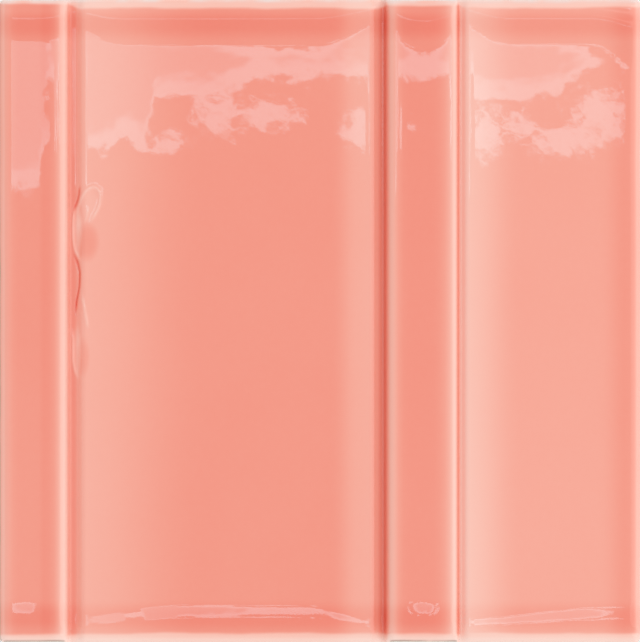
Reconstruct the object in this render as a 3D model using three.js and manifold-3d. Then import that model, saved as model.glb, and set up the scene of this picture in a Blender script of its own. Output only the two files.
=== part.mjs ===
// A glazed ceramic wall tile in relief: two raised ribs and two sunken panels, pressed and fired as one piece.
// Millimetres. X runs across the ribs, Y along them, Z out of the face. The tile lies on its back, and its
// origin is the centre of the back.
import * as THREE from "three";
import { mergeVertices } from "three/addons/utils/BufferGeometryUtils.js";
import Module from "manifold-3d";

// Length along the ribs, and the four bands across them, each measured from groove centre to groove centre.
const tileLength = 125.4;
const leftRibWidth = 14.5;
const widePanelWidth = 60.3;
const rightRibWidth = 15.0;
const narrowPanelWidth = 35.2;

// Heights of the face above the back.
const ribHeight = 11.0;
const widePanelHeight = 8.5;
const narrowPanelInnerHeight = 9.5;
const narrowPanelOuterHeight = 9.1;

// How far each band's face is dished below its shoulders, which is where the glaze pools.
const ribDish = 0.12;
const widePanelDish = 0.45;
const narrowPanelDish = 0.2;

// The three grooves, from left to right: floor width, floor height and the run of the panel's shoulder.
const leftGroove = { floor: 1.6, height: 7.7, shoulderRun: 1.1 };
const middleGroove = { floor: 0.6, height: 7.2, shoulderRun: 1.8 };
const rightGroove = { floor: 0.5, height: 8.7, shoulderRun: 1.2 };

// Pressed walls lean so that the tile leaves its die: the ribs' own walls, and their two ends.
const ribWallLean = THREE.MathUtils.degToRad(14);
const ribEndLean = THREE.MathUtils.degToRad(9);

// Radii of the arrises and fillets, and the slope at which an arris meets the tile's side.
const leftEdgeArris = 2.4;
const rightEdgeArris = 2.2;
const endArris = 1.8;
const ribLeftArris = 2.9;
const ribRightArris = 3.0;
const shoulderRadius = 1.4;
const grooveFillet = 0.7;
const arrisSlope = THREE.MathUtils.degToRad(70);
const cornerRadius = 1.0;
const backChamfer = 0.5;

// Shallow pockets that key the back into the adhesive.
const keyCount = 8;
const keyPitch = 14.0;
const keyWidth = 8.0;
const keyDepth = 0.8;
const keySlope = 0.5;
const keyMargin = 8.0;

// The finished surfaces are cut from blocks that reach past them by this much.
const spare = 1.0;
const arcDivisions = 3;
const dishSegments = 6;

const tileWidth = leftRibWidth + widePanelWidth + rightRibWidth + narrowPanelWidth;
const leftEdge = -tileWidth / 2;
const leftGrooveX = leftEdge + leftRibWidth;
const middleGrooveX = leftGrooveX + widePanelWidth;
const rightGrooveX = middleGrooveX + rightRibWidth;
const rightEdge = rightGrooveX + narrowPanelWidth;

const wasm = await Module();
wasm.setup();

// A closed mesh as a solid that can be joined and cut.
function toSolid(geometry) {
  const bare = geometry.clone();
  bare.deleteAttribute("normal");
  bare.deleteAttribute("uv");
  const merged = mergeVertices(bare, 1e-4);
  return new wasm.Manifold(
    new wasm.Mesh({
      numProp: 3,
      vertProperties: merged.attributes.position.array,
      triVerts: new Uint32Array(merged.index.array),
    }),
  );
}

function toGeometry(solid) {
  const mesh = solid.getMesh();
  const geometry = new THREE.BufferGeometry();
  geometry.setAttribute("position", new THREE.BufferAttribute(mesh.vertProperties, mesh.numProp));
  geometry.setIndex(new THREE.BufferAttribute(mesh.triVerts, 1));
  geometry.computeVertexNormals();
  return geometry;
}

const corner = (x, y, radius = 0) => ({ point: new THREE.Vector2(x, y), radius });

// A line through the corners, each rounded by an arc that its two sides have room for.
function roundedLine(corners) {
  const line = new THREE.Path();
  corners.forEach(({ point, radius }, i) => {
    if (i === 0) {
      line.moveTo(point.x, point.y);
      return;
    }
    if (radius === 0) {
      line.lineTo(point.x, point.y);
      return;
    }
    const sides = [corners[i - 1], corners[i + 1]].map((next) => ({
      direction: next.point.clone().sub(point).normalize(),
      room: next.point.distanceTo(point) * (next.radius === 0 ? 0.95 : 0.48),
    }));
    const [back, ahead] = sides.map((side) => side.direction);
    const halfTurn = (Math.PI - back.angleTo(ahead)) / 2;
    const setback = Math.min(radius * Math.tan(halfTurn), sides[0].room, sides[1].room);
    const fitted = setback / Math.tan(halfTurn);
    const inward = back.clone().add(ahead).normalize();
    const centre = point.clone().addScaledVector(inward, fitted / Math.cos(halfTurn));
    const start = point.clone().addScaledVector(back, setback);
    const end = point.clone().addScaledVector(ahead, setback);
    line.lineTo(start.x, start.y);
    line.absarc(
      centre.x,
      centre.y,
      fitted,
      start.clone().sub(centre).angle(),
      end.clone().sub(centre).angle(),
      back.cross(ahead) > 0,
    );
  });
  const points = line.getPoints(arcDivisions);
  return points.filter((point, i) => i === 0 || point.distanceTo(points[i - 1]) > 1e-3);
}

// A band of the face: its two shoulders, and between them a face that sags by the dish.
function band(left, right, dish) {
  const width = right.point.distanceTo(left.point);
  const face = Array.from({ length: dishSegments + 1 }, (_, i) => {
    const inset = Math.max(left.radius, right.radius) / width;
    const t = THREE.MathUtils.lerp(inset, 1 - inset, i / dishSegments);
    const between = left.point.clone().lerp(right.point, t);
    return corner(between.x, between.y - 4 * dish * t * (1 - t));
  });
  return [left, ...face, right];
}

// A groove's floor, its two bottom corners filleted.
function grooveFloor(x, groove) {
  return [-1, 1].map((side) => corner(x + (side * groove.floor) / 2, groove.height, grooveFillet));
}

// An arris has its corner this far in from the tile's side, which cuts it just before it ends.
const arrisInset = (radius) => 0.75 * radius * Math.tan(arrisSlope / 2) * Math.cos(arrisSlope);

// The same slope carried on past the tile's side.
const pastArris = (radius) => (arrisInset(radius) + spare) * Math.tan(arrisSlope);

// The relief's section across the ribs, reaching past both edges of the tile.
function sectionAcross() {
  const wallRun = (groove) => (ribHeight - groove.height) * Math.tan(ribWallLean);
  const shoulderInset = (groove) => groove.floor / 2 + groove.shoulderRun;
  const ribInset = (groove) => groove.floor / 2 + wallRun(groove);
  const leftRib = [
    corner(leftEdge + arrisInset(leftEdgeArris), ribHeight, leftEdgeArris),
    corner(leftGrooveX - ribInset(leftGroove), ribHeight, ribRightArris),
  ];
  const widePanel = [
    corner(leftGrooveX + shoulderInset(leftGroove), widePanelHeight, shoulderRadius),
    corner(middleGrooveX - shoulderInset(middleGroove), widePanelHeight, shoulderRadius),
  ];
  const rightRib = [
    corner(middleGrooveX + ribInset(middleGroove), ribHeight, ribLeftArris),
    corner(rightGrooveX - ribInset(rightGroove), ribHeight, ribRightArris),
  ];
  const narrowPanel = [
    corner(rightGrooveX + shoulderInset(rightGroove), narrowPanelInnerHeight, shoulderRadius),
    corner(rightEdge - arrisInset(rightEdgeArris), narrowPanelOuterHeight, rightEdgeArris),
  ];
  return roundedLine([
    corner(leftEdge - spare, ribHeight - pastArris(leftEdgeArris)),
    ...band(...leftRib, ribDish),
    ...grooveFloor(leftGrooveX, leftGroove),
    ...band(...widePanel, widePanelDish),
    ...grooveFloor(middleGrooveX, middleGroove),
    ...band(...rightRib, ribDish),
    ...grooveFloor(rightGrooveX, rightGroove),
    ...band(...narrowPanel, narrowPanelDish),
    corner(rightEdge + spare, narrowPanelOuterHeight - pastArris(rightEdgeArris)),
  ]);
}

// How far the face drops towards the tile's two ends, reaching past both.
function endDrop() {
  const arrisY = tileLength / 2 - arrisInset(endArris);
  const outside = tileLength / 2 + spare;
  return roundedLine([
    corner(-outside, -pastArris(endArris)),
    corner(-arrisY, 0, endArris),
    corner(arrisY, 0, endArris),
    corner(outside, -pastArris(endArris)),
  ]);
}

// The relief as a block with a flat underside: the section along every line across the ribs, dropping to the
// two ends. What stands above the panels stands back from the ends by the lean of the ribs' ends.
function reliefBlock() {
  const section = sectionAcross();
  const ends = endDrop();
  const columns = section.length;
  const rows = ends.length;
  const top = [];
  const underside = [];
  for (const { x: y, y: drop } of ends) {
    for (const { x, y: height } of section) {
      const standBack = Math.max(0, height - widePanelHeight) * Math.tan(ribEndLean);
      top.push(x, y - Math.sign(y) * standBack, height + drop);
      underside.push(x, y, -spare);
    }
  }
  const below = rows * columns;
  const index = [];
  const quad = (a, b, c, d) => index.push(a, b, c, a, c, d);
  for (let row = 0; row + 1 < rows; row++) {
    for (let column = 0; column + 1 < columns; column++) {
      const a = row * columns + column;
      quad(a, a + 1, a + 1 + columns, a + columns);
      quad(below + a, below + a + columns, below + a + 1 + columns, below + a + 1);
    }
    const left = row * columns;
    const right = left + columns - 1;
    quad(left, left + columns, below + left + columns, below + left);
    quad(right, below + right, below + right + columns, right + columns);
  }
  for (let column = 0; column + 1 < columns; column++) {
    const far = (rows - 1) * columns + column;
    quad(column, below + column, below + column + 1, column + 1);
    quad(far, far + 1, below + far + 1, below + far);
  }
  const geometry = new THREE.BufferGeometry();
  geometry.setAttribute("position", new THREE.Float32BufferAttribute([...top, ...underside], 3));
  geometry.setIndex(index);
  return toSolid(geometry);
}

// The tile's outline seen from above, as a block with its bottom edge chamfered.
function tileBlock() {
  const radius = cornerRadius - backChamfer;
  const x = tileWidth / 2 - cornerRadius;
  const y = tileLength / 2 - cornerRadius;
  const outline = new THREE.Shape();
  outline.absarc(x, y, radius, 0, Math.PI / 2);
  outline.absarc(-x, y, radius, Math.PI / 2, Math.PI);
  outline.absarc(-x, -y, radius, Math.PI, Math.PI * 1.5);
  outline.absarc(x, -y, radius, Math.PI * 1.5, Math.PI * 2);
  const geometry = new THREE.ExtrudeGeometry(outline, {
    depth: ribHeight + spare,
    bevelSize: backChamfer,
    bevelThickness: backChamfer,
    bevelSegments: 1,
    curveSegments: arcDivisions,
  });
  geometry.translate(0, 0, backChamfer);
  return toSolid(geometry);
}

// One keying pocket in the back, wider at its mouth than at its floor.
function keyPocket(y) {
  const mouth = keyWidth / 2;
  const section = new THREE.Shape([
    new THREE.Vector2(y - mouth - keySlope, -keyDepth),
    new THREE.Vector2(y + mouth + keySlope, -keyDepth),
    new THREE.Vector2(y + mouth - keySlope, keyDepth),
    new THREE.Vector2(y - mouth + keySlope, keyDepth),
  ]);
  const length = tileWidth - 2 * keyMargin;
  const geometry = new THREE.ExtrudeGeometry(section, { depth: length, bevelEnabled: false });
  const alongX = new THREE.Matrix4().set(0, 0, 1, -length / 2, 1, 0, 0, 0, 0, 1, 0, 0, 0, 0, 0, 1);
  geometry.applyMatrix4(alongX);
  return toSolid(geometry);
}

function reliefTile() {
  let tile = reliefBlock().intersect(tileBlock());
  for (let i = 0; i < keyCount; i++) {
    tile = tile.subtract(keyPocket((i - (keyCount - 1) / 2) * keyPitch));
  }
  return toGeometry(tile);
}

const coralGlaze = new THREE.MeshStandardMaterial({ color: 0xf49985, roughness: 0.08, metalness: 0 });

const tile = new THREE.Group();
const fired = new THREE.Mesh(reliefTile(), coralGlaze);
fired.name = "relief_tile";
tile.add(fired);

export default tile;
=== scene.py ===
# %% [markdown]
# # A glazed ceramic relief tile
#
# The object is one pressed and fired wall tile: two raised ribs, three grooves and two sunken panels under
# a coral glaze. Glaze is glass that was once fluid. It runs thin over every arris, pools in the grooves and
# banks up in a bead a few millimetres inside both ends, and those three habits are what the eye reads as
# ceramic. So this scene rules the pressed form first, lets the glaze bank up on it, stores how thick the
# glaze lies at every point, and colours the tile from that thickness, with a brown painted shade along some
# of its edges and pale grey patches along the head.
#
# Sizes are in millimetres until the mesh is placed, because that is how a tile is measured.

# %% Load the imported tile
import math

import bmesh
import bpy
import numpy as np
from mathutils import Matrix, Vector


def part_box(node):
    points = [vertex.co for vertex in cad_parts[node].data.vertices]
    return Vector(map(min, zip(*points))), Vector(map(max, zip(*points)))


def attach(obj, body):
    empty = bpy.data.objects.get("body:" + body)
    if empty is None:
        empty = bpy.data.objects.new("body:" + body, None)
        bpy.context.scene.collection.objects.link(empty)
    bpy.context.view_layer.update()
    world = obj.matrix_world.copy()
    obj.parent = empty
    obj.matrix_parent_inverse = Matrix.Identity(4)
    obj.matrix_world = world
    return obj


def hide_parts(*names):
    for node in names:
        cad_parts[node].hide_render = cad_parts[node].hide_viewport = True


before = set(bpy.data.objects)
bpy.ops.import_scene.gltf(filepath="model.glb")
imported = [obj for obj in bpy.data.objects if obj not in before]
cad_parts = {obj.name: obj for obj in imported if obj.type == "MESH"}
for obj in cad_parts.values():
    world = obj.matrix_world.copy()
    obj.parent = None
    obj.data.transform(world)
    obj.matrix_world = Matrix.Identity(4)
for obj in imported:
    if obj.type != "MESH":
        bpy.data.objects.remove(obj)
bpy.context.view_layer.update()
MM = 0.001
low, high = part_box("relief_tile")
width = (high.x - low.x) / MM
length = (high.y - low.y) / MM
highest = high.z / MM
print(f"the packed tile is {width:.2f} x {length:.2f} x {highest:.2f} mm")

# %% [markdown]
# ## One way to write node maths
#
# A geometry tree and a material are both sums on sockets. They could be drawn by hand, one Math node at a
# time, but a formula is easier to read and to mend than forty wires. `Bench` adds any node by its type, its
# settings and its inputs. `Term` wraps a socket, so that an expression such as `1 - mask * depth` adds its
# own Math nodes.


# %% Terms and benches
class Term:
    """A socket that takes part in sums."""

    def __init__(self, bench, socket):
        self.bench = bench
        self.socket = socket

    def math(self, operation, *others):
        terms = dict(enumerate([self, *others]))
        return self.bench.node("ShaderNodeMath", {"operation": operation}, terms)[0]

    def __add__(self, other):
        return self.math("ADD", other)

    __radd__ = __add__

    def __sub__(self, other):
        return self.math("SUBTRACT", other)

    def __rsub__(self, other):
        return (self * -1).math("ADD", other)

    def __mul__(self, other):
        return self.math("MULTIPLY", other)

    __rmul__ = __mul__

    def __truediv__(self, other):
        return self.math("DIVIDE", other)

    def ramp(self, start, end, low=0.0, high=1.0):
        """From low at start to high at end, with a soft foot and a soft head."""
        settings = {"interpolation_type": "SMOOTHSTEP"}
        inputs = {"Value": self, "From Min": start, "From Max": end, "To Min": low, "To Max": high}
        return self.bench.node("ShaderNodeMapRange", settings, inputs)["Result"]


class Outputs:
    """A node's outputs, by name or by number, as terms."""

    def __init__(self, bench, node):
        self.bench = bench
        self.node = node

    def __getitem__(self, key):
        return Term(self.bench, self.node.outputs[key])


class Bench:
    """A node tree, and the one way in which nodes are added to it."""

    def __init__(self, tree):
        self.tree = tree

    def node(self, kind, settings=None, inputs=None):
        node = self.tree.nodes.new(kind)
        for name, value in (settings or {}).items():
            if name == "stops":
                self.set_stops(node, value)
            else:
                setattr(node, name, value)
        for key, value in (inputs or {}).items():
            self.feed(node.inputs[key], value)
        return Outputs(self, node)

    def set_stops(self, node, stops):
        elements = node.color_ramp.elements
        while len(elements) < len(stops):
            elements.new(1.0)
        for element, (place, colour) in zip(elements, stops):
            element.position = place
            element.color = (*colour, 1.0)

    def feed(self, socket, value):
        if isinstance(value, (list, tuple)) and value and isinstance(value[0], Term):
            for term in value:
                self.tree.links.new(term.socket, socket)
        elif isinstance(value, Term):
            self.tree.links.new(value.socket, socket)
        else:
            socket.default_value = value

    def vector(self, x=0.0, y=0.0, z=0.0):
        return self.node("ShaderNodeCombineXYZ", None, {"X": x, "Y": y, "Z": z})["Vector"]

    def split(self, vector):
        parts = self.node("ShaderNodeSeparateXYZ", None, {"Vector": vector})
        return parts["X"], parts["Y"], parts["Z"]

    def noise(self, place, scale, detail=2.0, roughness=0.5):
        """Noise around zero, from about -0.5 to 0.5."""
        inputs = {"Vector": place, "Scale": scale, "Detail": detail, "Roughness": roughness}
        return self.node("ShaderNodeTexNoise", None, inputs)["Fac"] - 0.5


print("benches are ready")

# %% [markdown]
# ## The section across the ribs
#
# On the real tile the die gives one section that runs the whole length. It is a line with a radius at each
# corner: square-shouldered ribs, narrow grooves, and panels that sag a little. The solid has that section
# with a few straight facets round each arc. Gloss shows every facet, so here the line is ruled finely and
# then softened, as the glaze softens the die's edges. Two heights differ from the solid's on purpose. The
# ribs are ruled half a millimetre lower, so that the glaze banked up at their ends stays under its top, and
# glaze has all but levelled the dish of each panel.

# %% Sizes of the section
left_rib, wide_panel, right_rib = 14.5, 60.3, 15.0  # the narrow panel takes the rest of the width
rib_height, wide_height, inner_height, outer_height = 10.44, 8.5, 9.5, 9.1
left_edge = -width / 2
right_edge = width / 2
groove_x = np.cumsum([left_rib, wide_panel, right_rib]) + left_edge
grooves = [(1.6, 7.7, 1.1), (0.6, 7.2, 1.8), (0.5, 8.7, 1.2)]  # floor, height, run of the shoulder
wall_lean = math.tan(math.radians(14))
end_lean = math.tan(math.radians(9))
arris_slope = math.radians(70)
past = 1.0  # the line is ruled this far past both edges
left_arris, rib_left_arris, rib_right_arris, right_arris = 2.8, 2.9, 3.0, 2.2  # radii
shoulder, fillet = 1.4, 0.7
print(f"grooves at x = {[round(float(x), 1) for x in groove_x]}")


# %% Corners of the section
def arris_inset(radius):
    """How far in from the side an arris has its corner."""
    return 0.75 * radius * math.tan(arris_slope / 2) * math.cos(arris_slope)


def arris_foot(radius):
    """How far the line has dropped where it passes the side."""
    return (arris_inset(radius) + past) * math.tan(arris_slope)


def rib_side(which, side):
    """Where the wall that leans up from a groove's floor reaches the height of the rib."""
    floor, height, _ = grooves[which]
    return groove_x[which] + side * (floor / 2 + (rib_height - height) * wall_lean)


def panel_side(which, side):
    """Where the shoulder between a groove and a panel reaches the panel."""
    floor, _, run = grooves[which]
    return groove_x[which] + side * (floor / 2 + run)


def groove_floor(which):
    """The two corners of a groove's floor."""
    floor, height, _ = grooves[which]
    return [(groove_x[which] + side * floor / 2, height, fillet) for side in (-1, 1)]


corners = [
    (left_edge - past, rib_height - arris_foot(left_arris), 0.0),
    (left_edge + arris_inset(left_arris), rib_height, left_arris),
    (rib_side(0, -1), rib_height, rib_right_arris),
    *groove_floor(0),
    (panel_side(0, 1), wide_height, shoulder),
    (panel_side(1, -1), wide_height, shoulder),
    *groove_floor(1),
    (rib_side(1, 1), rib_height, rib_left_arris),
    (rib_side(2, -1), rib_height, rib_right_arris),
    *groove_floor(2),
    (panel_side(2, 1), inner_height, shoulder),
    (right_edge - arris_inset(right_arris), outer_height, right_arris),
    (right_edge + past, outer_height - arris_foot(right_arris), 0.0),
]
print(f"{len(corners)} corners")


# %% Helpers for lines
RULED_STEP = 0.02


def rounded(corners):
    """Points along the line through the corners, with an arc at each as large as its sides allow.

    An arc may take nearly half of a side, or nearly all of a side that ends the line.
    """
    points = [np.array(corners[0][:2])]
    for i in range(1, len(corners) - 1):
        here = np.array(corners[i][:2])
        ways, rooms = [], []
        for other in (corners[i - 1], corners[i + 1]):
            way = np.array(other[:2]) - here
            ways.append(way / np.linalg.norm(way))
            rooms.append(np.linalg.norm(way) * (0.95 if other[2] == 0 else 0.48))
        half_turn = (math.pi - math.acos(np.clip(ways[0] @ ways[1], -1, 1))) / 2
        setback = min(corners[i][2] * math.tan(half_turn), *rooms)
        start, end = here + ways[0] * setback, here + ways[1] * setback
        steps = max(4, int(2 * setback / RULED_STEP))
        for t in np.linspace(0, 1, steps):
            points.append((1 - t) ** 2 * start + 2 * t * (1 - t) * here + t * t * end)
    points.append(np.array(corners[-1][:2]))
    return np.array(points)


def along(points):
    """Distance along a line at each of its points."""
    steps = np.linalg.norm(np.diff(points, axis=0), axis=1)
    return np.concatenate([[0], np.cumsum(steps)])


def soften(values, sigma):
    """The values blurred over sigma samples, with their ends carried on straight."""
    reach = int(4 * sigma)
    kernel = np.exp(-0.5 * (np.arange(-reach, reach + 1) / sigma) ** 2)
    head = 2 * values[0] - values[reach:0:-1]
    tail = 2 * values[-1] - values[-2 : -reach - 2 : -1]
    return np.convolve(np.concatenate([head, values, tail]), kernel / kernel.sum(), "valid")


print("lines can be rounded, measured and softened")

# %% Rule the section and soften it
softness = 0.22
wide_sag, narrow_sag = 0.03, 0.015  # how deep each panel is dished
ruled = rounded(corners)
run = along(ruled)
fine = np.arange(0, run[-1], RULED_STEP)
section_x = soften(np.interp(fine, run, ruled[:, 0]), softness / RULED_STEP)
section_z = soften(np.interp(fine, run, ruled[:, 1]), softness / RULED_STEP)


def soft_step(x, start, end):
    """From zero at start to one at end, with a soft foot and a soft head."""
    t = np.clip((x - start) / (end - start), 0, 1)
    return t * t * (3 - 2 * t)


def sag(x, start, end, depth):
    """A shallow dish between two places."""
    t = np.clip((x - start) / (end - start), 0, 1)
    return -16 * depth * (t * (1 - t)) ** 2


section_z += sag(section_x, panel_side(0, 1) - 1, panel_side(1, -1) + 1, wide_sag)
section_z += sag(section_x, panel_side(2, 1) - 1, right_edge - 2, narrow_sag)
print(f"section line {run[-1]:.1f} mm long, {section_z.min():.2f} to {section_z.max():.2f} mm high")

# %% [markdown]
# ## Where the section needs points
#
# A mesh could have a column of points every tenth of a millimetre, but most of a panel is nearly flat and
# would waste them. The points are shared out by how much the line turns: close together round an arris,
# about a millimetre apart on a panel. The rows along the tile are shared out the same way, close together
# near both ends, where the glaze banks up. Beside the first groove the glaze has a scar, which needs both
# close columns and close rows.


# %% Share out columns and rows
def share_out(distance, spacing):
    """Places along a distance, as far apart as the spacing asks at each."""
    wanted = np.concatenate([[0], np.cumsum(np.diff(distance) / ((spacing[1:] + spacing[:-1]) / 2))])
    count = int(round(wanted[-1])) + 1
    return np.interp(np.linspace(0, wanted[-1], count), wanted, distance)


scar_x, scar_y = (-48.8, -42.2), (-12.5, 28)
turn_per_column = math.radians(4.5)
on_tile = (section_x >= left_edge) & (section_x <= right_edge)
line_x, line_z = section_x[on_tile], section_z[on_tile]
line_run = along(np.stack([line_x, line_z], axis=1))
heading = np.arctan2(np.gradient(line_z), np.gradient(line_x))
bend = soften(np.abs(np.gradient(heading, line_run)), 15)
spacing = np.clip(turn_per_column / np.maximum(bend, 1e-6), 0.13, 1.0)
near_scar = (line_x > scar_x[0]) & (line_x < scar_x[1])
spacing = np.where(near_scar, np.minimum(spacing, 0.14), spacing)
column_run = share_out(line_run, soften(spacing, 20))
column_x = np.interp(column_run, line_run, line_x)
column_z = np.interp(column_run, line_run, line_z)
column_x[0], column_x[-1] = left_edge, right_edge

half = length / 2
row_run = np.arange(-half, half + RULED_STEP / 2, RULED_STEP)
from_end = half - np.abs(row_run)
row_spacing = 0.2 + 0.12 * soft_step(from_end, 1.0, 3.0) + 0.9 * soft_step(from_end, 9.0, 13.0)
near_scar = (row_run > scar_y[0]) & (row_run < scar_y[1])
row_spacing = np.where(near_scar, 0.38, row_spacing)
row_y = share_out(row_run, soften(row_spacing, 40))
row_y[0], row_y[-1] = -half, half
print(f"{len(column_x)} columns and {len(row_y)} rows")

# %% [markdown]
# ## How thick the glaze lies
#
# A glaze's depth could be painted on by hand. It is worked out here instead, because on the real tile it
# follows the form. Each band was flooded to its own depth, which fades towards its shoulders. On top of that
# comes what surface tension does: where the form is proud of its surroundings the glaze is thin, and where
# it is hollow the glaze pools. The height of the form, less that height smoothed over a millimetre, says
# which of the two a place is. What the form can't tell is where the glaze crept before it set, so a few
# narrow bands along the grooves and the sides are made deeper or thinner by hand. Three of them are painted
# light: thinner glaze pales steep walls beside the first two grooves that the lamp leaves darker. The plain
# coral of the ribs is 1.55 units deep.


# %% Helpers for bands
def depth_of_band(start, end, left, middle, right, left_fade, right_fade):
    """Depth of the glaze across one band, and nothing outside it. A fade is where it starts and ends."""
    inside = (column_x >= start) & (column_x < end)
    depth = left + (middle - left) * soft_step(column_x, start + left_fade[0], start + left_fade[1])
    depth = depth + (right - middle) * soft_step(column_x, end - right_fade[0], end - right_fade[1])
    return np.where(inside, depth, 0.0)


def by_place(*pairs):
    """A value that changes from band to band: each pair is where it starts and what it is."""
    value = np.full_like(column_x, pairs[0][1])
    for start, amount in pairs[1:]:
        value = np.where(column_x >= start, amount, value)
    return value


def blended(across):
    """The values softened along the section, so that each band runs into the next."""
    return np.interp(column_run, line_run, soften(np.interp(line_run, column_run, across), 40))


print("bands can be laid side by side")

# %% Glaze over the section
groove_1, groove_2, groove_3 = groove_x
crept = groove_1 + 1.3  # the first rib's glaze crept over the groove
flood = blended(
    depth_of_band(left_edge - 1, crept, 1.6, 1.55, 1.7, (2, 6), (9, 3))
    + depth_of_band(crept, groove_2, 1.03, 1.62, 1.12, (0, 25), (9.8, 5.4))
    + depth_of_band(groove_2, groove_3, 1.6, 1.65, 1.2, (1, 4), (5, 1.8))
    + depth_of_band(groove_3, right_edge + 1, 0.66, 1.18, 1.6, (2.2, 12), (8.8, 3.4))
)
level = soften(section_z, 1.2 / RULED_STEP)
hollow = np.interp(column_run, line_run, (level - section_z)[on_tile])
pooling = by_place((left_edge, 0.0), (0.0, 1.7), (groove_2 + 3, -0.45))
thinning = by_place(
    (left_edge, 2.2), (left_edge + 6, 3.8), (groove_1, 0.5), (groove_2, 2.8), (groove_3, 0.5),
    (right_edge - 5, 1.0),
)
glaze_across = flood + np.where(hollow < 0, thinning * hollow, pooling * hollow)

# Bands where the glaze lies deeper or thinner: middle, half width, and how much deeper it lies there. The
# thinner bands on the first rib's right wall, the first groove's shoulder and the second groove's left side
# are painted light, paling steep walls that the lamp leaves darker.
depth_and_painted_light_bands = [
    (left_edge + 0.85, 0.6, -0.3), (groove_1 - 5.3, 1.2, 0.16), (groove_1 - 1.2, 0.8, -0.95),
    (groove_1 + 1.15, 1.0, -0.5), (groove_2 - 2.0, 0.9, 0.28), (groove_2 - 0.6, 0.9, -0.4),
    (groove_3 - 0.8, 0.5, 0.25), (groove_3 - 0.25, 0.6, 0.6), (groove_3 + 0.75, 1.2, -0.45),
]
for middle, half_width, deeper in depth_and_painted_light_bands:
    glaze_across += deeper * (1 - soft_step(np.abs(column_x - middle), 0, half_width))
glaze_across -= 0.6 * soft_step(column_x, right_edge - 1.5, right_edge - 0.5)
glaze_across = np.clip(glaze_across, 0.5, 2.75)
print(f"glaze depth across the tile {glaze_across.min():.2f} to {glaze_across.max():.2f}")


# %% Size of the end beads across the tile
def bank_of_band(start, end, left, right, left_run, right_run):
    """Size of the bead across one band: one in its middle, and a share of that at each shoulder."""
    inside = (column_x >= start) & (column_x < end)
    rise = left + (1 - left) * soft_step(column_x, start, start + left_run)
    fall = right + (1 - right) * soft_step(column_x, end, end - right_run)
    return np.where(inside, rise * fall, 0.0)


bank_head = blended(
    bank_of_band(left_edge - 1, groove_1, 0.7, 0.65, 4, 5) * 0.93
    + bank_of_band(groove_1, groove_2, 0.63, 0.5, 9, 13)
    + bank_of_band(groove_2, groove_3, 0.45, 0.6, 7, 6) * 1.08
    + bank_of_band(groove_3, right_edge + 1, 0.5, 1.6, 9, 10) * 0.97
)
bank_foot = blended(
    bank_of_band(left_edge - 1, groove_1, 0.8, 0.8, 4, 4) * 1.1
    + bank_of_band(groove_1, groove_2, 0.72, 0.6, 22, 15) * 1.02
    + bank_of_band(groove_2, groove_3, 0.8, 0.8, 4, 4) * 1.1
    + bank_of_band(groove_3, right_edge + 1, 0.68, 0.95, 30, 3) * 0.96
)

# How steep the bead's inner side is, as a share of its full slope.
steep = blended(
    bank_of_band(left_edge - 1, groove_1, 0.9, 0.9, 6.5, 7) * 0.8
    + bank_of_band(groove_1, groove_2, 0.97, 0.97, 20, 14) * 0.978
    + bank_of_band(groove_2, groove_3, 0.5, 0.5, 7.5, 7.5) * 1.04
    + bank_of_band(groove_3, right_edge + 1, 0.99, 0.99, 20, 4) * 0.994
)
print(f"bead size at the head {bank_head.min():.2f} to {bank_head.max():.2f}")

# %% [markdown]
# ## Two ruled lines in one mesh
#
# A Geometry Nodes tree needs the section and the rows as data. They could be typed into hundreds of nodes;
# a mesh of loose points is a better carrier, because a tree can look up any of its points by number. The
# first points are the section and the rest are the rows. The section's points carry what changes across the
# tile: glaze depth, bead size and slope, how far the glaze drew back from the head, and how much more of it
# lies towards the head, where it drained.

# %% Ruled lines
columns, rows = len(column_x), len(row_y)
lines = bpy.data.meshes.new("ruled_lines")
section_points = [(x, 0.0, z) for x, z in zip(column_x, column_z)]
lines.from_pydata(section_points + [(0.0, y, 0.0) for y in row_y], [], [])
carried = {
    "glaze": glaze_across,
    "bank_head": bank_head,
    "bank_foot": bank_foot,
    "steep": steep,
    "rim": blended(by_place((left_edge, 0.9), (groove_1, 1.85), (groove_2, 1.15), (groove_3, 1.6))),
    "heavy": blended(by_place((left_edge, 0.12), (groove_1, 0.0), (groove_2, 0.12), (groove_3, 0.12))),
}
for name, values in carried.items():
    attribute = lines.attributes.new(name, "FLOAT", "POINT")
    attribute.data.foreach_set("value", np.concatenate([values, np.zeros(rows)]).astype(np.float32))
tile = bpy.data.objects.new("glazed_tile", lines)
bpy.context.scene.collection.objects.link(tile)
print(f"{len(lines.vertices)} points carry the two lines")

# %% [markdown]
# ## Where the glaze crawled
#
# Beside the first groove the glaze of the wide panel crawled while it was fluid: it folded into a lip, ran
# over the groove in two lobes and left creases where it pulled back. Such a fault could be a bump in the
# material, but a lip has an edge that catches the light from every side, so it is raised in the mesh. Each
# lip or crease is a smooth line through a few places, made of close points that say how much the glaze
# rises or sinks there and over what breadth. For every point of the face the tree looks up the nearest one.


# %% Lips and creases
def smooth_line(places, rise, breadth):
    """Close points along a smooth line through the places, rising and dying away at both ends."""
    places = np.array(places, float)
    knots = along(places)
    steps = np.arange(0, knots[-1], 0.06)
    line = np.stack([np.interp(steps, knots, places[:, i]) for i in (0, 1)], axis=1)
    line = np.stack([soften(line[:, i], 8) for i in (0, 1)], axis=1)
    share = steps / knots[-1]
    body = np.minimum(1, 6 * np.minimum(share, 1 - share) + 0.15)
    return [(x, y, rise * part, breadth) for (x, y), part in zip(line, body)]


def points_piece(name, points):
    """A mesh of loose points with their rise and breadth, for the tree to look up."""
    mesh = bpy.data.meshes.new(name)
    mesh.from_pydata([(x, y, 0.0) for x, y, _, _ in points], [], [])
    for attribute_name, column in (("rise", 2), ("breadth", 3)):
        attribute = mesh.attributes.new(attribute_name, "FLOAT", "POINT")
        attribute.data.foreach_set("value", np.array([p[column] for p in points], np.float32))
    return bpy.data.objects.new(name, mesh)


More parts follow.
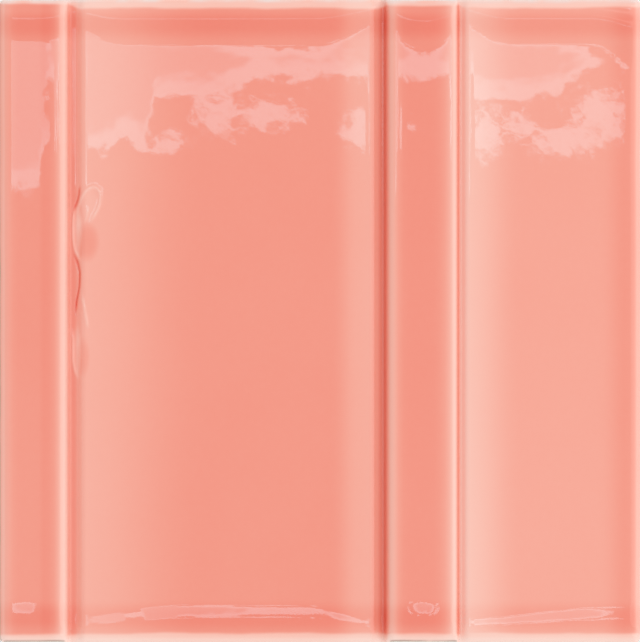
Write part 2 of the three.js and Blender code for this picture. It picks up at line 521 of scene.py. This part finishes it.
lips = points_piece(
    "crawl_lips",
    smooth_line(
        [(-47.9, 22.0), (-48.2, 19.7), (-48.2, 16.4), (-48.0, 14.3), (-47.5, 13.2), (-46.7, 11.7)],
        0.17,
        0.26,
    )
    + smooth_line(
        [
            (-47.6, 20.8), (-46.6, 23.8), (-45.6, 25.4), (-44.1, 26.2), (-43.0, 25.6), (-42.7, 24.0),
            (-43.0, 22.3), (-43.8, 20.7), (-44.9, 19.0),
        ],
        0.10,
        0.3,
    )
    + smooth_line([(-45.3, 21.9), (-45.4, 20.4), (-45.9, 19.2)], 0.06, 0.26)
    + smooth_line([(-46.5, 5.2), (-45.8, 1.8), (-45.2, -1.5)], 0.09, 0.3)
    + smooth_line([(-48.3, -1.6), (-48.2, -4.3), (-48.2, -7.9), (-47.8, -9.9), (-47.2, -11.2)], 0.14, 0.26),
)
creases = points_piece(
    "crawl_creases",
    smooth_line([(-46.9, 26.2), (-46.95, 24.6), (-47.4, 23.1), (-48.0, 21.7)], -0.16, 0.2)
    + smooth_line(
        [(-48.0, 13.0), (-47.2, 11.3), (-46.8, 9.4), (-46.9, 6.7), (-47.5, 3.8), (-47.7, 1.4)], -0.2, 0.2
    ),
)
print(f"{len(lips.data.vertices)} points in lips, {len(creases.data.vertices)} in creases")

# %% [markdown]
# ## The coral glaze
#
# The real finish is clear coloured glass over a pale body. Glass could be modelled as a second skin with
# volume absorption, which is slow and is lost on export. The law behind it is short, so it is used
# directly: light that passes a depth of glass is dimmed by an exponential, faster in blue and green than in
# red. Body colour times that exponential gives cream where the glaze is thin, coral where it lies normally
# and red where it pools. Where the glaze stops on the tile's sides, the bare body shows: dry, cream and a
# little sandy. Last come two thin layers whose shares are stored on the mesh like the glaze's depth: a brown
# painted shade along edges that face away from the lamp, and pale grey patches along the head.

# %% Glaze material
glaze_finish = bpy.data.materials.new("coral_glaze")
glaze_finish.use_nodes = True
glaze_finish.node_tree.nodes.clear()
bench = Bench(glaze_finish.node_tree)
place = bench.node("ShaderNodeTexCoord")["Object"]
_, _, up = bench.split(place)
depth = bench.node("ShaderNodeAttribute", {"attribute_name": "glaze"})["Fac"]
clouds = bench.noise(place, 45.0, 3.0)
grains = bench.noise(place, 900.0, 2.0)
depth = depth * (1 + clouds * 0.10 + grains * 0.05)

body_colour = (1.0, 0.80, 0.73)
absorption = (0.064, 0.627, 0.761)


def seen_through(depth, body, dimming):
    """One channel of the body's colour, as it shows through a depth of glaze."""
    return (depth * -dimming).math("EXPONENT") * body


channels = [seen_through(depth, body, dim) for body, dim in zip(body_colour, absorption)]
coral = bench.node("ShaderNodeCombineColor", None, dict(zip(("Red", "Green", "Blue"), channels)))
glaze_line = 0.0062 + bench.noise(place, 120.0, 3.0) * 0.0016
glazed = (up - glaze_line).ramp(-0.00015, 0.00015)
sand = bench.noise(place, 1800.0, 4.0, 0.7)
bisque = bench.node(
    "ShaderNodeValToRGB",
    {"stops": [(0.0, (0.58, 0.46, 0.36)), (0.45, (0.74, 0.64, 0.53)), (1.0, (0.84, 0.77, 0.67))]},
    {"Fac": sand + 0.5},
)["Color"]
shades = {0: glazed, 6: bisque, 7: coral["Color"]}
colour = bench.node("ShaderNodeMix", {"data_type": "RGBA"}, shades)[2]

# Two layers lie along the arrises: a brown painted shade on the left arris and the ribs' foot ends, and pale
# grey patches at the head. The sides carry on the values of the face's edge, so each layer is ended at a
# height in metres a little below its arris.
full_cover = 0.75  # neither layer hides more of the colour than this
for layer, layer_colour, stops_at in (
    ("grime", (0.36, 0.25, 0.2, 1), 0.0085),
    ("dust", (0.84, 0.74, 0.71, 1), 0.0064),
):
    share = bench.node("ShaderNodeAttribute", {"attribute_name": layer})["Fac"].math("MINIMUM", full_cover)
    share = share * (up - stops_at).ramp(-0.0004, 0.0004)
    shades = {0: share, 6: colour, 7: layer_colour}
    colour = bench.node("ShaderNodeMix", {"data_type": "RGBA"}, shades)[2]
orange_peel = bench.noise(place, 260.0, 1.0)
relief = orange_peel * glazed * 0.000006 + sand * (1 - glazed) * 0.00025
bump = bench.node("ShaderNodeBump", None, {"Height": relief, "Distance": 1.0, "Strength": 1.0})
roughness = 0.014 + (1 - glazed) * 0.75
surface = bench.node(
    "ShaderNodeBsdfPrincipled",
    None,
    {"Base Color": colour, "Roughness": roughness, "IOR": 1.65, "Normal": bump["Normal"]},
)
bench.node("ShaderNodeOutputMaterial", None, {"Surface": surface["BSDF"]})
print("glaze material made")

# %% [markdown]
# ## The tile's tree
#
# The form follows a rule, so a tree makes it. A grid of points is laid over the tile, and each point looks
# up its column in the section and its row along the length. Near the two ends the form drops in an arris and
# the glaze banks up just inside it. The grid's outer edges are then drawn down to make the four sides and
# turned in to make the back's chamfer. The same few steps could be typed as mesh code, but as a tree the
# sizes stay named inputs that can be changed one by one.

# %% Inputs of the tree
tree = bpy.data.node_groups.new("pressed_and_glazed_tile", "GeometryNodeTree")
sockets = {}
for name, kind, value in (
    ("Ruled lines", "NodeSocketGeometry", None),
    ("Columns", "NodeSocketInt", columns),
    ("Rows", "NodeSocketInt", rows),
    ("Width", "NodeSocketFloat", width),
    ("Length", "NodeSocketFloat", length),
    ("Panel height", "NodeSocketFloat", wide_height),
    ("End lean", "NodeSocketFloat", end_lean),
    ("End arris", "NodeSocketFloat", 1.8),
    ("Plan corner", "NodeSocketFloat", 1.0),
    ("Bead slope", "NodeSocketFloat", 0.1225),
    ("Bead crest", "NodeSocketFloat", 3.75),
    ("Bead reach at head", "NodeSocketFloat", 5.2),
    ("Bead reach at foot", "NodeSocketFloat", 4.4),
    ("Back chamfer", "NodeSocketFloat", 0.5),
    ("Key count", "NodeSocketInt", 8),
    ("Key pitch", "NodeSocketFloat", 14.0),
    ("Key width", "NodeSocketFloat", 8.0),
    ("Key depth", "NodeSocketFloat", 0.8),
    ("Key slope", "NodeSocketFloat", 0.5),
    ("Key margin", "NodeSocketFloat", 8.0),
    ("Lips", "NodeSocketObject", lips),
    ("Creases", "NodeSocketObject", creases),
    ("Finish", "NodeSocketMaterial", glaze_finish),
):
    socket = tree.interface.new_socket(name, in_out="INPUT", socket_type=kind)
    sockets[name] = (socket.identifier, value)
tree.interface.new_socket("Tile", in_out="OUTPUT", socket_type="NodeSocketGeometry")
bench = Bench(tree)
given = bench.node("NodeGroupInput")
print(f"{len(sockets)} inputs")


# %% Look up each point's column and row
def looked_up(value, index, kind="FLOAT"):
    """What a value is at one point of the ruled lines."""
    settings = {"data_type": kind, "domain": "POINT"}
    inputs = {"Geometry": given["Ruled lines"], "Value": value, "Index": index}
    return bench.node("GeometryNodeSampleIndex", settings, inputs)["Value"]


def named(name):
    """A value stored on points, by its name."""
    return bench.node("GeometryNodeInputNamedAttribute", {"data_type": "FLOAT"}, {"Name": name})[0]


grid = bench.node(
    "GeometryNodeMeshGrid",
    None,
    {"Size X": 1.0, "Size Y": 1.0, "Vertices X": given["Columns"], "Vertices Y": given["Rows"]},
)["Mesh"]
number = bench.node("GeometryNodeInputIndex")[0]
column = ((number + 0.5) / given["Rows"]).math("FLOOR")
row = number - column * given["Rows"]
position = bench.node("GeometryNodeInputPosition")[0]
x, _, section = bench.split(looked_up(position, column, "FLOAT_VECTOR"))
_, y, _ = bench.split(looked_up(position, row + given["Columns"], "FLOAT_VECTOR"))
glaze_here = looked_up(named("glaze"), column)
side = y.math("SIGN")
at_head = y.math("GREATER_THAN", 0.0)
bank_here = looked_up(named("bank_head"), column) * at_head
bank_here = bank_here + looked_up(named("bank_foot"), column) * (1 - at_head)
from_end = given["Length"] / 2 - y.math("ABSOLUTE")
stand_back = (section - given["Panel height"]).math("MAXIMUM", 0.0) * given["End lean"]
arris = given["End arris"]
into_arris = (arris * 0.88 - from_end).math("MAXIMUM", 0.0)
drop = (arris * arris - into_arris * into_arris).math("MAXIMUM", 0.0).math("SQRT") - arris
print("every point finds its column and its row")

# %% Bead inside both ends
steepest = 1.25  # slope of the bead's curve, were its height and reach both one
crest = given["Bead crest"] * bank_here
reach = given["Bead reach at head"] * at_head + given["Bead reach at foot"] * (1 - at_head)
reach = reach * bank_here
bead_height = given["Bead slope"] * looked_up(named("steep"), column) * reach / steepest
# The inner side falls at one steady slope from the crest, and runs out in a long soft tail.
down = ((from_end - crest) / reach).math("MAXIMUM", 0.0).math("MINIMUM", 1.0) * 2 - 1
steady = 0.5 - (down - down * down * down * down * down * 0.2) * (steepest / 2)
tail = from_end.ramp(crest, crest + reach * 1.5, 1.0, 0.0)
bead = bead_height * from_end.ramp(crest * 0.4, crest) * (steady * 0.92 + tail * 0.08)

place = bench.vector(x, y)
swell = bench.noise(place, 0.045, 1.0) * 0.015
print("beads are in the tree")


# %% Crawled lips, and the height of the face
def crawled(piece):
    """How far the glaze rises at a point because of the nearest lip or crease."""
    lines = bench.node("GeometryNodeObjectInfo", None, {"Object": given[piece]})["Geometry"]
    inputs = {"Geometry": lines, "Sample Position": place}
    nearest = bench.node("GeometryNodeSampleNearest", None, inputs)[0]

    def of_nearest(value, kind="FLOAT"):
        settings = {"data_type": kind, "domain": "POINT"}
        inputs = {"Geometry": lines, "Value": value, "Index": nearest}
        return bench.node("GeometryNodeSampleIndex", settings, inputs)["Value"]

    ends = {0: place, 1: of_nearest(position, "FLOAT_VECTOR")}
    gap = bench.node("ShaderNodeVectorMath", {"operation": "DISTANCE"}, ends)["Value"]
    share = gap / of_nearest(named("breadth"))
    return of_nearest(named("rise")) * (share * share * -1).math("EXPONENT")


lip = crawled("Lips")
crease = crawled("Creases")
headroom = 0.05  # keeps the face with its swell below the top of the solid
height = (section + drop + bead + swell + lip + crease - headroom).math("MINIMUM", highest)
print("height is in the tree")

# %% Glaze and dirt over the face
# The glaze drew back from both ends to a wavering line and left a thin rim. At the foot's outermost
# millimetre the glaze is thinner still: painted light, paling an end that faces away from the lamp.
rim_here = looked_up(named("rim"), column)
rim_here = rim_here + (1.25 - rim_here * 0.65) * (1 - at_head)
rim_here = rim_here + bench.noise(bench.vector(x, side * 50), 0.11, 2.0) * 0.9
foot_end_painted_light = (1 - at_head) * from_end.ramp(0.5, 1.5, 0.2, 0.0)
thin_rim = (from_end - rim_here).ramp(-0.35, 0.35, 0.4, 1.0) - foot_end_painted_light

# It lies heavier towards the head, and pools in a band about five millimetres inside each end.
heavier = looked_up(named("heavy"), column) * y.ramp(-50, 40)
pooled = 0.25 * from_end.ramp(1.8, 4.3) * from_end.ramp(5.4, 8.6, 1.0, 0.0)


def patch(middle_x, middle_y, half_width, half_height):
    """One in the middle of an oval, fading to nothing at its edge."""
    off_x, off_y = (x - middle_x) / half_width, (y - middle_y) / half_height
    return (1 - off_x * off_x - off_y * off_y).ramp(0.0, 1.0)


# The crawled lobes are thin, with a small pool beside each.
lobes = patch(-47.3, 17.5, 1.2, 5.6) * 0.65 + patch(-47.4, -5.8, 1.1, 6.0) * 0.5
lobes = lobes + patch(-44.8, 22.8, 2.1, 3.8) * 0.15
deep = patch(-45.4, 15.4, 2.8, 4.4) * 0.45 + patch(-46.2, -7.0, 1.6, 4.4) * 0.3
glaze_there = ((glaze_here + heavier) * (thin_rim + pooled)).math("MAXIMUM", 0.42 - foot_end_painted_light)
# Over the lips the glaze is thinner and in the creases deeper: partly how glaze runs, partly a painted
# highlight on the lips and painted shade in the creases.
glaze_there = glaze_there - lobes + deep - lip * 3 - crease * 7

# Painted shade: a brown line along the left outer arris and the ribs' foot ends, which face away from the
# lamp. Pale grey patches lie along the head's rim.
from_side = given["Width"] / 2 - x.math("ABSOLUTE")
blotch = bench.noise(place, 0.16, 2.0)
along_left = from_side.ramp(0.05, 0.45, 1.0, 0.0) * (1 - x.math("SIGN")) / 2 * y.ramp(15, 24, 1.0, 0.3)
on_rib = (section - given["Panel height"]).ramp(1.2, 1.8)
along_foot = from_end.ramp(0.1, 0.5, 1.0, 0.0) * (1 - at_head) * on_rib
grime = (along_left + along_foot) * (blotch * 2.5 + 0.75).math("MAXIMUM", 0.15)
# Pale grey patches along the head's rim.
dust = from_end.ramp(0.25, 0.95, 1.0, 0.0) * at_head * (blotch * 3 + 0.35).math("MAXIMUM", 0.0)
print("formulas of the face are in the tree")

# %% [markdown]
# ## Plan shape
#
# Seen from above, a pressed tile is never a perfect square: the corners are rounded by about a millimetre
# and the edges waver by a few tenths, because the clay shrank and the glaze crept. Both are done to the
# points near the edge only, and always inwards, so that the tile stays within the box of its solid.


# %% Plan corners and wavering edges
def past_corner(distance, size):
    """How far a point lies into the square that the plan's rounded corner replaces."""
    return (distance.math("ABSOLUTE") - size / 2 + given["Plan corner"]).math("MAXIMUM", 0.0)


in_x = past_corner(x, given["Width"])
in_y = past_corner(y, given["Length"])
diagonal = (in_x * in_x + in_y * in_y).math("SQRT").math("MAXIMUM", 1e-6)
pull = 1 - in_x.math("MAXIMUM", in_y) / diagonal
both = in_x.math("MINIMUM", in_y).math("GREATER_THAN", 1e-7)
x_side = x.math("SIGN")
waver_x = (bench.noise(bench.vector(x_side * 40, y), 0.05, 1.0) + 0.3).math("MAXIMUM", 0.0) * 0.3
waver_y = (bench.noise(bench.vector(x, side * 90), 0.05, 1.0) + 0.2).math("MAXIMUM", 0.0) * 0.15
near_side = x.math("ABSOLUTE").ramp(width / 2 - 4, width / 2)
near_end = y.math("ABSOLUTE").ramp(length / 2 - 4, length / 2)
placed_x = x - x_side * (in_x * pull * both + waver_x * near_side)
leaned_y = y * (1 - stand_back * 2 / given["Length"])
placed_y = leaned_y - side * (in_y * pull * both + waver_y * near_end)

face = bench.node(
    "GeometryNodeSetPosition",
    None,
    {"Geometry": grid, "Position": bench.vector(placed_x, placed_y, height)},
)["Geometry"]
# The face keeps its glaze depth and the shares of the brown painted shade and of the pale grey patches.
for name, value in (("glaze", glaze_there), ("grime", grime), ("dust", dust)):
    face = bench.node(
        "GeometryNodeStoreNamedAttribute",
        {"data_type": "FLOAT", "domain": "POINT"},
        {"Geometry": face, "Name": name, "Value": value},
    )["Geometry"]
print("plan shape is in the tree")


# %% [markdown]
# ## Sides, back and keying pockets
#
# A wall tile's back is out of sight, and is finished plainly: a flat back with a small chamfer and shallow
# pockets that key it into the adhesive. The sides are drawn down from the face's own edge, so that there is
# no seam. Each pocket is one floor whose edges are drawn out to its mouth, and eight instances of it stand
# on a line of points. The back is then filled between the chamfer and the eight mouths.


# %% Draw down the sides
def drawn_out(mesh, selection, place):
    """New walls from the selected edges, whose far edge goes to the given place."""
    inputs = {"Mesh": mesh, "Selection": selection, "Offset Scale": 0.0}
    walls = bench.node("GeometryNodeExtrudeMesh", {"mode": "EDGES"}, inputs)
    inputs = {"Geometry": walls["Mesh"], "Selection": walls["Top"], "Position": place}
    moved = bench.node("GeometryNodeSetPosition", None, inputs)["Geometry"]
    return moved, walls["Top"]


faces_beside = bench.node("GeometryNodeInputMeshEdgeNeighbors")["Face Count"]
rim = faces_beside.math("COMPARE", 1.0, 0.1)
here_x, here_y, here_z = bench.split(position)
chamfer = given["Back chamfer"]
tile_mesh, edge = drawn_out(face, rim, bench.vector(here_x, here_y, here_z - 0.5))
tile_mesh, edge = drawn_out(tile_mesh, edge, bench.vector(here_x, here_y, chamfer * 2))
tile_mesh, edge = drawn_out(tile_mesh, edge, bench.vector(here_x, here_y, chamfer))
turn_in_x = 1 - chamfer * 2 / given["Width"]
turn_in_y = 1 - chamfer * 2 / given["Length"]
tile_mesh, edge = drawn_out(tile_mesh, edge, bench.vector(here_x * turn_in_x, here_y * turn_in_y))
outline = bench.node("GeometryNodeMeshToCurve", None, {"Mesh": tile_mesh, "Selection": edge})["Curve"]
print("sides and chamfer are in the tree")

# %% Keying pockets and the back
floor_width = given["Key width"] - given["Key slope"] * 2
floor = bench.node(
    "GeometryNodeMeshGrid",
    None,
    {
        "Size X": given["Width"] - given["Key margin"] * 2,
        "Size Y": floor_width,
        "Vertices X": 2,
        "Vertices Y": 2,
    },
)["Mesh"]
raised = bench.node(
    "GeometryNodeSetPosition", None, {"Geometry": floor, "Offset": bench.vector(0, 0, given["Key depth"])}
)["Geometry"]
pocket, _ = drawn_out(raised, rim, bench.vector(here_x, here_y * (given["Key width"] / floor_width)))
first = (given["Key count"] - 1) * given["Key pitch"] / -2
stations = bench.node(
    "GeometryNodeMeshLine",
    None,
    {
        "Count": given["Key count"],
        "Start Location": bench.vector(0, first, 0),
        "Offset": bench.vector(0, given["Key pitch"], 0),
    },
)["Mesh"]
instances = bench.node("GeometryNodeInstanceOnPoints", None, {"Points": stations, "Instance": pocket})
pockets = bench.node("GeometryNodeRealizeInstances", None, {"Geometry": instances[0]})["Geometry"]
mouths = bench.node("GeometryNodeMeshToCurve", None, {"Mesh": pockets, "Selection": rim})["Curve"]
loops = bench.node("GeometryNodeJoinGeometry", None, {"Geometry": [outline, mouths]})["Geometry"]
back = bench.node("GeometryNodeFillCurve", {"mode": "TRIANGLES"}, {"Curve": loops})["Mesh"]
print("pockets and back are in the tree")

# %% Close the tile and finish the tree
whole = bench.node("GeometryNodeJoinGeometry", None, {"Geometry": [tile_mesh, pockets, back]})["Geometry"]
closed = bench.node("GeometryNodeMergeByDistance", None, {"Geometry": whole, "Distance": 0.002})["Geometry"]
smooth = bench.node("GeometryNodeSetShadeSmooth", None, {"Geometry": closed})["Geometry"]
turn = bench.node("GeometryNodeInputMeshEdgeAngle")["Unsigned Angle"]
creased = bench.node(
    "GeometryNodeSetShadeSmooth",
    {"domain": "EDGE"},
    {"Geometry": smooth, "Shade Smooth": turn.math("LESS_THAN", math.radians(36))},
)["Geometry"]
scaled = bench.node("GeometryNodeTransform", None, {"Geometry": creased, "Scale": (MM, MM, MM)})["Geometry"]
real = bench.node("GeometryNodeRealizeInstances", None, {"Geometry": scaled})["Geometry"]
made = bench.node("GeometryNodeSetMaterial", None, {"Geometry": real, "Material": given["Finish"]})
bench.node("NodeGroupOutput", None, {"Tile": made["Geometry"]})
print(f"the tree has {len(tree.nodes)} nodes")

# %% [markdown]
# ## Fire it
#
# The modifier's inputs are set by each socket's identifier, before the object is evaluated for the first
# time. The evaluated result is then copied into a plain mesh and the modifier is taken off, so that the
# tile is that plain mesh.

# %% Run the tree and keep its mesh
modifier = tile.modifiers.new("tile", "NODES")
modifier.node_group = tree
for name, (identifier, value) in sockets.items():
    if value is not None:
        modifier[identifier] = value
depsgraph = bpy.context.evaluated_depsgraph_get()
fired = bpy.data.meshes.new_from_object(tile.evaluated_get(depsgraph), depsgraph=depsgraph)
tile.modifiers.remove(modifier)
tile.data = fired
fired.name = "glazed_tile"


def outward(mesh):
    """Turns every face outwards. Gives the number of open edges and the volume."""
    work = bmesh.new()
    work.from_mesh(mesh)
    bmesh.ops.recalc_face_normals(work, faces=work.faces)
    open_edges = sum(1 for e in work.edges if len(e.link_faces) != 2)
    volume = work.calc_volume(signed=True)
    work.to_mesh(mesh)
    work.free()
    return open_edges, volume


open_edges, volume = outward(fired)
triangles = sum(len(p.vertices) - 2 for p in fired.polygons)
print(f"{triangles} triangles, {open_edges} open edges, {volume * 1e6:.1f} cubic centimetres")
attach(tile, "root")
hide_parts("relief_tile")

# %% [markdown]
# ## Floor
#
# The tile lies on its back on a plain pale floor. One large sheet would do from above, but it would hide the
# back from below, so the sheet is a frame of four faces whose opening lies just inside the tile's outline.


# %% Floor
def flat_piece(name, corners, material, faces=((0, 1, 2, 3),)):
    """A flat stage piece through corners in millimetres."""
    mesh = bpy.data.meshes.new(name)
    mesh.from_pydata([tuple(c * MM for c in corner) for corner in corners], [], faces)
    piece = bpy.data.objects.new(name, mesh)
    bpy.context.scene.collection.objects.link(piece)
    mesh.materials.append(material)
    return piece


paper = bpy.data.materials.new("pale_floor")
paper.use_nodes = True
paper.node_tree.nodes.clear()
bench = Bench(paper.node_tree)
pale = {"Base Color": (0.97, 0.97, 0.97, 1), "Roughness": 0.9}
sheet = bench.node("ShaderNodeBsdfPrincipled", None, pale)
bench.node("ShaderNodeOutputMaterial", None, {"Surface": sheet["BSDF"]})
reach_of_floor = 3000
overlap = 1  # how far the tile reaches over the opening's edge
below = -0.02  # a hair under the tile's back, so that the two never lie in one plane


def square_round(half_x, half_y):
    """Four corners round the tile's middle, on the floor's plane."""
    return [(x * half_x, y * half_y, below) for x, y in ((-1, -1), (1, -1), (1, 1), (-1, 1))]


half_x_open, half_y_open = width / 2 - overlap, length / 2 - overlap
flat_piece(
    "floor",
    square_round(reach_of_floor, reach_of_floor) + square_round(half_x_open, half_y_open),
    paper,
    [(i, (i + 1) % 4, (i + 1) % 4 + 4, i + 4) for i in range(4)],
)
print("floor is laid")

# %% [markdown]
# ## Soft light
#
# The picture has hardly any shadow, so most of the light comes evenly from all round, nearly white. Even
# light alone would leave the ribs flat. A large soft panel high on the right lights one wall of each rib and
# shades the other, with edges as soft as daylight from a window gives.

# %% Soft light
world = bpy.data.worlds.new("soft_room")
bpy.context.scene.world = world
world.use_nodes = True
world.node_tree.nodes.clear()
bench = Bench(world.node_tree)
room = bench.node("ShaderNodeBackground", None, {"Color": (1.0, 0.985, 0.97, 1), "Strength": 0.875})
bench.node("ShaderNodeOutputWorld", None, {"Surface": room["Background"]})

panel_light = bpy.data.lights.new("soft_panel", "AREA")
panel_light.shape = "SQUARE"
panel_light.size = 2.0
panel_light.energy = 7.0
panel = bpy.data.objects.new("soft_panel", panel_light)
panel.location = (1.08, 0.2, 1.05)
panel.rotation_mode = "QUATERNION"
panel.rotation_quaternion = panel.location.to_track_quat("Z", "Y")
bpy.context.scene.collection.objects.link(panel)
print("light is set")

# %% [markdown]
# ## What the gloss mirrors
#
# Gloss shows as what it mirrors, and the real tile mirrors a window beside the camera. A lamp would give a
# plain bright patch. A card that only reflections can see gives the ragged one: a sky whose lower edge
# follows trees, brightest close above them, with clumps of light between the branches. Noise stretched along
# the branches' lean tears every edge of it.

# %% Glow of the window card
daylight = bpy.data.materials.new("daylight")
daylight.use_nodes = True
daylight.node_tree.nodes.clear()
bench = Bench(daylight.node_tree)
place = bench.node("ShaderNodeTexCoord")["Object"]
x, y, _ = bench.split(place)
x, y = x / MM, y / MM
turned = {"Vector": place, "Rotation": (0.0, 0.0, -0.3), "Scale": (1.3, 0.42, 1.0)}
streaks = bench.node("ShaderNodeMapping", {"vector_type": "TEXTURE"}, turned)["Vector"]
leaves = bench.noise(streaks, 90.0, 2.0, 0.6)
twigs = bench.noise(streaks, 380.0, 4.0, 0.75)
haze = bench.noise(place, 32.0, 1.0)

# The sky's lower edge: where along the card it changes, and by how much. Leaves tear its outermost steps.
outer = x + leaves * 4 + twigs * 6
sill = outer.ramp(-111.5, -107, 51, 67) + outer.ramp(-107, -105, 0, 27) - x.ramp(-100, -94, 0, 28)
sill = sill + x.ramp(-84, -73, 0, 7) - x.ramp(-72, -66, 0, 5) + x.ramp(-66, -61, 0, 19)
sill = sill + x.ramp(-42, -24, 0, 8) - x.ramp(55, 72, 0, 9)
sill = sill + x.ramp(104, 134, 0, 16) + x.ramp(133, 138, 0, 30)
sky = (y - sill + leaves * 5 + twigs * 13).ramp(-0.3, 0.3)

# Clumps of light between the trees: middle, half width and half height of each.
clumps = [
    (-58, 69, 7, 3.5), (-39, 80.5, 8, 8), (-21, 80, 9.5, 5.5), (15, 75, 7, 7), (35.5, 75.5, 2, 3),
    (86, 73, 8, 9), (101, 77, 6, 4.5), (115, 70, 10, 6), (131, 80, 12, 9),
]
patches = None
for middle_x, middle_y, half_width, half_height in clumps:
    off_x, off_y = (x - middle_x) / half_width, (y - middle_y) / half_height
    clump = (1.1 - off_x * off_x - off_y * off_y + leaves * 3 + twigs * 8).ramp(0.0, 0.12)
    patches = clump if patches is None else patches.math("MAXIMUM", clump)
low_sky = (y - sill).ramp(4, 10, 1.0, 0.42) + x.ramp(-104, -96, 0.12, 0.0) + haze * 0.16
glow = (sky * low_sky).math("MAXIMUM", patches * (1.0 + haze * 0.6))
shine = bench.node("ShaderNodeEmission", None, {"Color": (0.45, 0.95, 1.05, 1), "Strength": 3.2})
clear = bench.node("ShaderNodeBsdfTransparent")
card_shader = bench.node("ShaderNodeMixShader", None, {0: glow, 1: clear[0], 2: shine[0]})
bench.node("ShaderNodeOutputMaterial", None, {"Surface": card_shader[0]})
print(f"{len(clumps)} clumps of light below the sky")

# %% Hang the card
camera_height = 900.0
rim_height = 9.9
card_z = camera_height + rim_height
card = flat_piece(
    "window_card",
    [(-210, 42, card_z), (-210, 150, card_z), (230, 150, card_z), (230, 42, card_z)],
    daylight,
)
card.visible_camera = False
card.visible_shadow = False
card.visible_diffuse = False
print("window card hangs beside the camera")

# %% [markdown]
# ## Camera
#
# The picture looks straight down on the tile from so far away that the ribs' walls show nearly alike on both
# sides. A camera without perspective would come close to that, but it would mirror the card at another size.
# So the camera stands 0.9 m above the rim with a long lens.

# %% Camera
sensor = 36.0
seen_height = 124.8  # millimetres of the rim's plane along the picture's longer side
camera_data = bpy.data.cameras.new("camera")
camera_data.sensor_width = sensor
camera_data.lens = sensor * camera_height / seen_height
camera_data.clip_start = 0.01
camera = bpy.data.objects.new("camera", camera_data)
camera.location = (0.0, 0.0, card_z * MM)
bpy.context.scene.collection.objects.link(camera)
bpy.context.scene.camera = camera
bpy.context.scene.view_settings.view_transform = "Standard"
print(f"camera {camera_height:.0f} mm above the rim, lens {camera_data.lens:.0f} mm")
